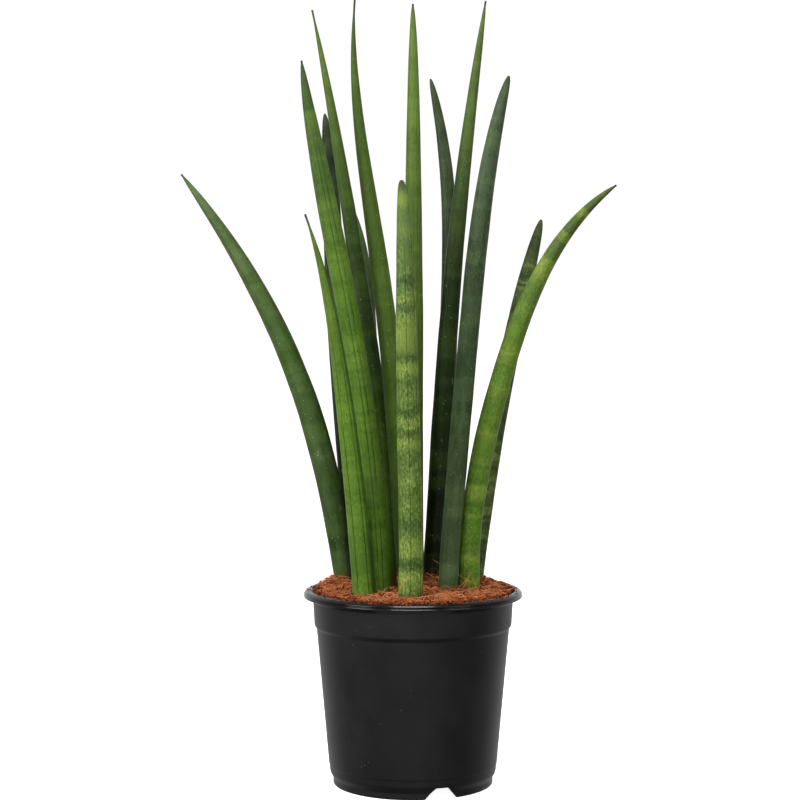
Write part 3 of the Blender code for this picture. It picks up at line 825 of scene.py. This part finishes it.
def plastic_material():
    shade = Shade("black_polypropylene", roughness=0.40, specular=0.38)
    place = shade.object_place()
    worn = shade.noise(place, (35, 35, 28), detail=4, roughness=0.6)
    colour = shade.mix(shade.ramp(worn, 0.35, 0.75), srgb(*PLASTIC_DARK), srgb(*PLASTIC_WORN))
    scuff = shade.noise(place, (60, 60, 900), detail=3, roughness=0.7)
    scuffed = shade.times(shade.ramp(scuff, 0.62, 0.74), shade.ramp(worn, 0.5, 0.7))
    colour = shade.mix(shade.times(scuffed, 0.35), colour, srgb(*SCUFF_COLOUR))
    speck = shade.cells(place, 260.0)
    keep = shade.ramp(shade.noise(place, (90, 90, 90), detail=1), 0.60, 0.66)
    dots = shade.times(shade.ramp(speck, 0.12, 0.07), keep)
    colour = shade.mix(shade.times(dots, 0.5), colour, srgb(*GRIT_COLOUR))
    dull = shade.span(worn, 0.36, 0.52)
    rim = shade.ramp(shade.height(place), RIM_TOP - 9.5 * MM, RIM_TOP - 8.0 * MM)
    dull = shade.times(dull, shade.span(rim, 1.0, RIM_GLOSS))
    roughness = shade.math('ADD', shade.times(scuffed, 0.2), dull)
    grain = shade.noise(place, (1400, 1400, 1400), detail=2)
    turned_lines = shade.noise(place, (8, 8, 2600), detail=2)
    normal = shade.bump(grain, 0.04 * MM, 0.5)
    normal = shade.bump(turned_lines, 0.03 * MM, 0.35, normal)
    return shade.finish(colour, roughness, normal)


def build_pot():
    pot = turned("pot_shell", pot_profile(), POT_SEGMENTS, plastic_material())
    carve(pot, [notch_block(direction) for direction in NOTCH_DIRECTIONS])
    carve(pot, [drain_block(index) for index in range(DRAIN_HOLE_COUNT)])
    pot.data.shade_smooth()
    pot.data.set_sharp_from_angle(angle=radians(32))
    settle(pot, "nursery_pot")


# ---------------------------------------------------------------------------- substrate

def soil_height(x, y):
    share = min(sqrt(x * x + y * y) / SOIL_RADIUS, 1.0)
    rise = SOIL_RISE
    for clump_x, clump_y, spread, height in SOIL_CLUMPS:
        distance = sqrt((x / MM - clump_x) ** 2 + (y / MM - clump_y) ** 2)
        rise += height * MM * np.exp(-0.5 * (distance / spread) ** 2)
    return SOIL_EDGE + rise * (1.0 - share ** SOIL_SHOULDER)


def soil_surface(x, y):
    """The mound with its lumps."""
    lumps = noise.noise(Vector((x * 55, y * 55, 3.1))) * 1.3
    lumps += noise.noise(Vector((x * 170, y * 170, 8.7))) * 0.8
    edge = max(0.0, 1.0 - (sqrt(x * x + y * y) / SOIL_RADIUS) ** 14)
    return soil_height(x, y) + lumps * MM * edge


def coir_material(name, pale, dark, dry):
    shade = Shade(name, roughness=0.92, specular=0.15)
    place = shade.object_place()
    tone = shade.attribute("tone").outputs["Fac"]
    patch = shade.noise(place, (140, 140, 140), detail=4, roughness=0.65)
    fine = shade.noise(place, (1600, 1600, 1600), detail=3, roughness=0.7)
    blend = shade.math('ADD', shade.times(tone, 0.75), shade.times(fine, 0.45))
    colour = shade.mix(shade.ramp(blend, 0.25, 0.95), srgb(*dark), srgb(*pale))
    colour = shade.mix(shade.times(shade.ramp(patch, 0.5, 0.75), 0.35), colour, srgb(*dry))
    normal = shade.bump(fine, 0.3 * MM, 0.7)
    return shade.finish(colour, normal=normal)


def build_bed(material):
    """The body of coir that fills the pot, with a lumpy top."""
    side = [
        (PAD_RADIUS - WALL - SOIL_GAP, WALL + 0.6 * MM + SOIL_GAP),
        (PAD_RADIUS + PAD_SLOPE - WALL - SOIL_GAP, FLOOR_TOP + SOIL_GAP),
        (BODY_FOOT_RADIUS - WALL - 1.0 * MM - SOIL_GAP, FLOOR_TOP + SOIL_GAP),
        (BODY_FOOT_RADIUS - WALL - SOIL_GAP, FLOOR_TOP + 2.0 * MM),
        (BODY_TOP_RADIUS - WALL - SOIL_GAP, LEDGE_BOTTOM - 1.2 * MM),
        (COLLAR_FOOT_RADIUS - WALL - SOIL_GAP, LEDGE_TOP),
        (COLLAR_RADIUS - WALL - SOIL_GAP - 0.2 * MM, RIM_TOP - 5.0 * MM),
    ]
    vertices = [point for radius, height in side for point in ring(radius, height, BED_SEGMENTS)]
    for inward in range(BED_RINGS):
        radius = SOIL_RADIUS * (1.0 - inward / BED_RINGS)
        for x, y, _ in ring(radius, 0.0, BED_SEGMENTS):
            vertices.append((x, y, soil_surface(x, y) - 0.4 * MM))
    rows = len(side) + BED_RINGS
    piece = add_mesh("coir_bed", vertices, loft_faces(rows, BED_SEGMENTS), material)
    add_values(piece, "tone", [0.15 + 0.3 * noise.noise(Vector(v) * 400) for v in vertices])
    settle(piece, "coir_substrate")


def leaf_feet():
    """Where each leaf leaves the substrate, and its radius there (m)."""
    return [(Vector(points[0][:2]) * MM, leaf_diameter(0.0, *shape) / 2)
            for points, *shape in LEAVES.values()]


def clear_of_leaves(x, y, margin, feet):
    return all((Vector((x, y)) - foot).length > radius + margin for foot, radius in feet)


def ball(cuts):
    """Points and triangles of a small ball, finer with each cut of its edges."""
    form = bmesh.new()
    bmesh.ops.create_icosphere(form, subdivisions=1, radius=1.0)
    if cuts:
        bmesh.ops.subdivide_edges(form, edges=form.edges[:], cuts=cuts, use_grid_fill=True)
        bmesh.ops.triangulate(form, faces=form.faces[:])
    points = np.array([v.co.normalized()[:] for v in form.verts])
    faces = np.array([[v.index for v in f.verts] for f in form.faces])
    form.free()
    return points, faces


def random_turn(draw):
    axis = Vector(draw.normal(size=3)).normalized()
    return np.array(Matrix.Rotation(draw.uniform(0, 2 * pi), 3, axis))


def ground_height(x, y):
    """The mound, or the pot's rim where a crumb has spilt over its edge."""
    radius = sqrt(x * x + y * y)
    if radius < SOIL_RADIUS:
        return soil_surface(x, y)
    return RIM_TOP - 0.45 * max(0.0, radius - RIM_RADIUS + 4.0 * MM)


def scatter_crumbs(name, count, form, sizes, draw, material, reach, spilt=False):
    """Irregular lumps lying on the mound, or spilt over the front of the rim, in one mesh."""
    feet = leaf_feet()
    points, faces = form
    all_points = []
    all_faces = []
    tones = []
    while len(all_points) < count:
        radius = reach * sqrt(draw.uniform())
        turn = draw.uniform(0, 2 * pi)
        if spilt:
            turn = draw.normal(-pi / 2, SPILL_SPREAD)
            radius = SPILL_START + (reach - SPILL_START) * draw.uniform() ** 1.3
        x, y = radius * cos(turn), radius * sin(turn)
        if not clear_of_leaves(x, y, -0.4 * MM, feet):
            continue
        size = draw.uniform(*sizes) * MM
        shape = size * np.array([draw.uniform(*share) for share in CRUMB_SHAPE])
        lump = points * (1.0 + draw.uniform(-0.22, 0.22, size=(len(points), 1))) * shape
        lump = lump @ random_turn(draw).T
        lump = lump + np.array((x, y, ground_height(x, y) + size * draw.uniform(-0.25, 0.75)))
        all_faces.append(faces + len(all_points) * len(points))
        all_points.append(lump)
        tones.append(np.full(len(points), draw.uniform(0.0, 1.0)) + draw.uniform(-0.1, 0.1, len(points)))
    faces = np.concatenate(all_faces).tolist()
    piece = add_mesh(name, np.concatenate(all_points), faces, material, smooth=False)
    add_values(piece, "tone", np.concatenate(tones))
    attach(piece, BODY)


def fibre_tube(path, thickness, sides=4):
    """Points and faces of a thin tapering strand along a path."""
    points = []
    rows = len(path)
    for i, centre in enumerate(path):
        ahead = path[min(i + 1, rows - 1)] - path[max(i - 1, 0)]
        ahead /= np.linalg.norm(ahead) + 1e-12
        side = np.cross(ahead, (0.31, 0.17, 0.94))
        side /= np.linalg.norm(side) + 1e-12
        over = np.cross(ahead, side)
        radius = thickness / 2 * (1.0 - 0.6 * abs(2 * i / (rows - 1) - 1) ** 3)
        for k in range(sides):
            angle = 2 * pi * k / sides
            points.append(centre + radius * (cos(angle) * side + sin(angle) * over))
    return points, loft_faces(rows, sides)


def join_fibres(name, paths, thicknesses, tones, material, sides=4):
    all_points = []
    all_faces = []
    values = []
    for path, thickness, tone in zip(paths, thicknesses, tones):
        points, faces = fibre_tube(path, thickness, sides)
        start = len(all_points)
        all_points.extend(points)
        all_faces.extend(tuple(start + i for i in face) for face in faces)
        values.extend([tone] * len(points))
    piece = add_mesh(name, all_points, all_faces, material)
    add_values(piece, "tone", values)
    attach(piece, BODY)


def scatter_fibres(count, draw, material):
    """Short curved strands lying on and poking out of the mound."""
    feet = leaf_feet()
    paths = []
    thicknesses = []
    tones = []
    while len(paths) < count:
        radius = (SOIL_RADIUS - 1.0 * MM) * sqrt(draw.uniform())
        turn = draw.uniform(0, 2 * pi)
        x, y = radius * cos(turn), radius * sin(turn)
        length = draw.gamma(3.0, 2.6) * MM + 2.0 * MM
        heading = draw.uniform(0, 2 * pi)
        curl = draw.normal(0.0, 1.1)
        lift = abs(draw.normal(0.0, 0.28)) if draw.uniform() < 0.8 else draw.uniform(0.3, 1.0)
        path = []
        for i in range(FIBRE_STEPS):
            t = i / (FIBRE_STEPS - 1)
            bearing = heading + curl * t
            if i:
                x += length / (FIBRE_STEPS - 1) * cos(bearing)
                y += length / (FIBRE_STEPS - 1) * sin(bearing)
            if x * x + y * y > (SOIL_RADIUS + 1.5 * MM) ** 2 or not clear_of_leaves(x, y, 0.2 * MM, feet):
                break
            arch = lift * length * (t - 0.75 * t * t)
            height = soil_surface(x, y) + 0.5 * MM + arch + draw.normal(0, 0.12) * MM
            path.append(np.array((x, y, height)))
        if len(path) < 4:
            continue
        paths.append(path)
        thicknesses.append(draw.uniform(0.20, 0.58) * MM)
        tones.append(draw.uniform(0.25, 1.0))
    join_fibres("coir_fibres", paths, thicknesses, tones, material)


# Long pale strands that stand out, each by the four control points (mm) of its curve: the first
# leans across the right-hand leaves, the second stands before the front leaf, and the others lie
# or stick up between the leaves and at the edge.
LONG_STRANDS = (
    ((14, -14, 177), (24, -20, 172), (36, -20, 164), (48, -19, 158)),
    ((-14, -63, 152), (-12, -64, 158), (-8, -64, 164), (-3, -63, 171)),
    ((5, -65, 153), (-2, -65, 153.5), (-9, -65, 153), (-15, -64, 152)),
    ((31, -30, 154), (36, -28, 158), (41, -25, 161), (45, -22, 167)),
    ((34, -33, 153), (39, -31, 157), (42, -27, 162), (43, -24, 168)),
    ((72, 10, 154), (72, 10, 158), (71, 10, 161), (70, 11, 164)),
    ((73, 8, 153), (74, 8, 157), (75.5, 8, 160), (76, 8, 161)),
    ((-30, -62, 152), (-24, -64, 154), (-17, -65, 153), (-12, -64, 152)),
    ((44, -50, 153), (52, -48, 156), (60, -45, 156), (68, -38, 154)),
    ((20, -62, 152), (27, -61, 156), (34, -58, 157), (40, -54, 154)),
)


def build_long_strands(material):
    paths = []
    for points in LONG_STRANDS:
        ends = [np.array(point, dtype=float) * MM for point in points]
        path = []
        for i in range(13):
            t = i / 12
            b = ((1 - t) ** 3, 3 * t * (1 - t) ** 2, 3 * t * t * (1 - t), t ** 3)
            path.append(sum(weight * end for weight, end in zip(b, ends)))
        paths.append(path)
    thicknesses = [0.30 * MM] * len(paths)
    join_fibres("coir_long_strands", paths, thicknesses, [0.9] * len(paths), material, sides=6)


def build_substrate():
    draw = np.random.RandomState(17)
    coir = coir_material("coir", *COIR_COLOURS)
    strand = coir_material("coir_strand", *STRAND_COLOURS)
    build_bed(coir)
    scatter_crumbs("coir_crumbs", CRUMBS, ball(0), (0.4, 1.15), draw, coir, SOIL_RADIUS + 1.2 * MM)
    scatter_crumbs("coir_chips", CHIPS, ball(1), (1.0, 2.3), draw, coir, SOIL_RADIUS - 1.0 * MM)
    scatter_crumbs("coir_spill", SPILT_CRUMBS, ball(0), (0.45, 0.95), draw, coir,
                   RIM_RADIUS - 1.8 * MM, spilt=True)
    scatter_fibres(FIBRES, draw, strand)
    build_long_strands(strand)


# ------------------------------------------------------------------- floor, light, camera

def build_floor():
    shade = Shade("studio_floor", roughness=0.8, specular=0.1)
    shade.shader.inputs["Emission Color"].default_value = (1.0, 1.0, 1.0, 1.0)
    shade.shader.inputs["Emission Strength"].default_value = FLOOR_GLOW
    grain = shade.noise(shade.object_place(), (9, 9, 9), detail=2)
    material = shade.finish(shade.mix(grain, (0.78, 0.78, 0.78, 1.0), (0.84, 0.84, 0.84, 1.0)))
    corners = [(x * FLOOR_REACH, y * FLOOR_REACH, 0.0) for x, y in ((-1, -1), (1, -1), (1, 1), (-1, 1))]
    floor = add_mesh("studio_floor", corners, [(0, 1, 2, 3)], material)
    floor.location.z = -0.05 * MM
    floor.visible_diffuse = False
    floor.visible_glossy = False


def build_world():
    """White behind the object; as light, dim in front of it and bright behind it."""
    world = bpy.data.worlds.new("studio")
    bpy.context.scene.world = world
    world.use_nodes = True
    nodes, links = world.node_tree.nodes, world.node_tree.links
    nodes.clear()
    seen, lit = (nodes.new("ShaderNodeBackground") for _ in range(2))
    for background in (seen, lit):
        background.inputs["Color"].default_value = (1.0, 1.0, 1.0, 1.0)
    seen.inputs["Strength"].default_value = BACKDROP_GLOW
    direction = nodes.new("ShaderNodeTexCoord")
    parts = nodes.new("ShaderNodeSeparateXYZ")
    strength = nodes.new("ShaderNodeMapRange")
    strength.inputs["From Min"].default_value = 0.0
    strength.inputs["From Max"].default_value = 0.9
    strength.inputs["To Min"].default_value = AMBIENT_FRONT
    strength.inputs["To Max"].default_value = AMBIENT_BACK
    links.new(direction.outputs["Generated"], parts.inputs[0])
    links.new(parts.outputs["Y"], strength.inputs["Value"])
    links.new(strength.outputs["Result"], lit.inputs["Strength"])
    path = nodes.new("ShaderNodeLightPath")
    choose = nodes.new("ShaderNodeMixShader")
    out = nodes.new("ShaderNodeOutputWorld")
    links.new(path.outputs["Is Camera Ray"], choose.inputs["Fac"])
    links.new(lit.outputs[0], choose.inputs[1])
    links.new(seen.outputs[0], choose.inputs[2])
    links.new(choose.outputs[0], out.inputs["Surface"])


def add_softbox(name, place, size, power):
    light = bpy.data.lights.new(name, 'AREA')
    light.shape = 'RECTANGLE'
    light.size, light.size_y = size
    light.energy = power
    lamp = bpy.data.objects.new(name, light)
    lamp.location = place
    lamp.rotation_euler = (Vector(SOFTBOX_AIM) - Vector(place)).to_track_quat('-Z', 'Y').to_euler()
    bpy.context.scene.collection.objects.link(lamp)


def build_lights():
    for name, place, size, power in SOFTBOXES:
        add_softbox(name, place, size, power)


def build_camera():
    camera = bpy.data.cameras.new("camera")
    camera.lens = CAMERA_LENS
    camera.sensor_width = SENSOR_WIDTH
    rig = bpy.data.objects.new("camera", camera)
    rig.location = CAMERA_PLACE
    rig.rotation_euler = (radians(90.0 - CAMERA_DIP), 0.0, 0.0)
    bpy.context.scene.collection.objects.link(rig)
    bpy.context.scene.camera = rig


# ------------------------------------------------------------------------------ assembly

bpy.context.scene.view_settings.view_transform = 'Standard'
build_camera()
build_floor()
build_world()
build_lights()
build_pot()
build_substrate()
for leaf_index, leaf_name in enumerate(LEAVES):
    build_leaf(leaf_index, leaf_name)
